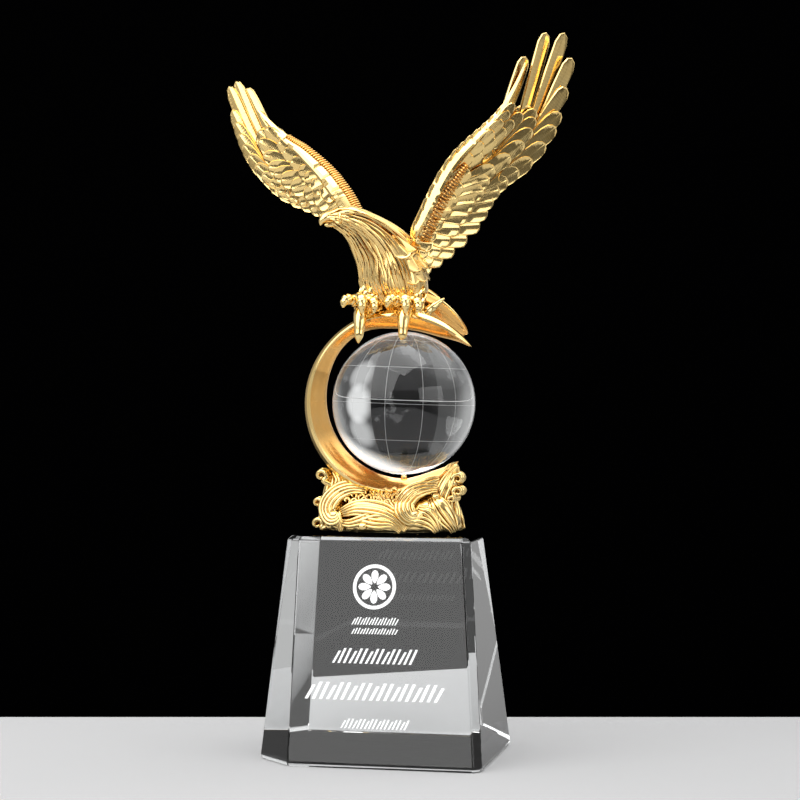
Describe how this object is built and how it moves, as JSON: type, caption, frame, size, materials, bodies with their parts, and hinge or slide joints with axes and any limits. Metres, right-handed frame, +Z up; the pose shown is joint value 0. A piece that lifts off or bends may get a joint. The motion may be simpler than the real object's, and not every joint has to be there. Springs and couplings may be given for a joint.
{
  "type": "eagle trophy",
  "caption": "Gilt eagle with raised wings perched on a crescent over breaking waves, a clear crystal globe inside the crescent, on a tapered clear crystal plinth.",
  "frame": {"origin": "middle of the plinth's underside", "axes": "+Z up, -Y the front of the plinth with the inscription place, +X to the viewer's right"},
  "size_m": [0.1521, 0.0816, 0.3055],
  "materials": {
    "crystal": "polished clear crystal with frosted engraving",
    "globe_crystal": "polished clear crystal with etched map lines",
    "gilt": "bright gold plating on a cast alloy"
  },
  "bodies": {
    "root": {"crystal_plinth": "crystal", "crystal_globe": "globe_crystal", "wave_base": "gilt", "eagle": "gilt"}
  },
  "joints": []
}
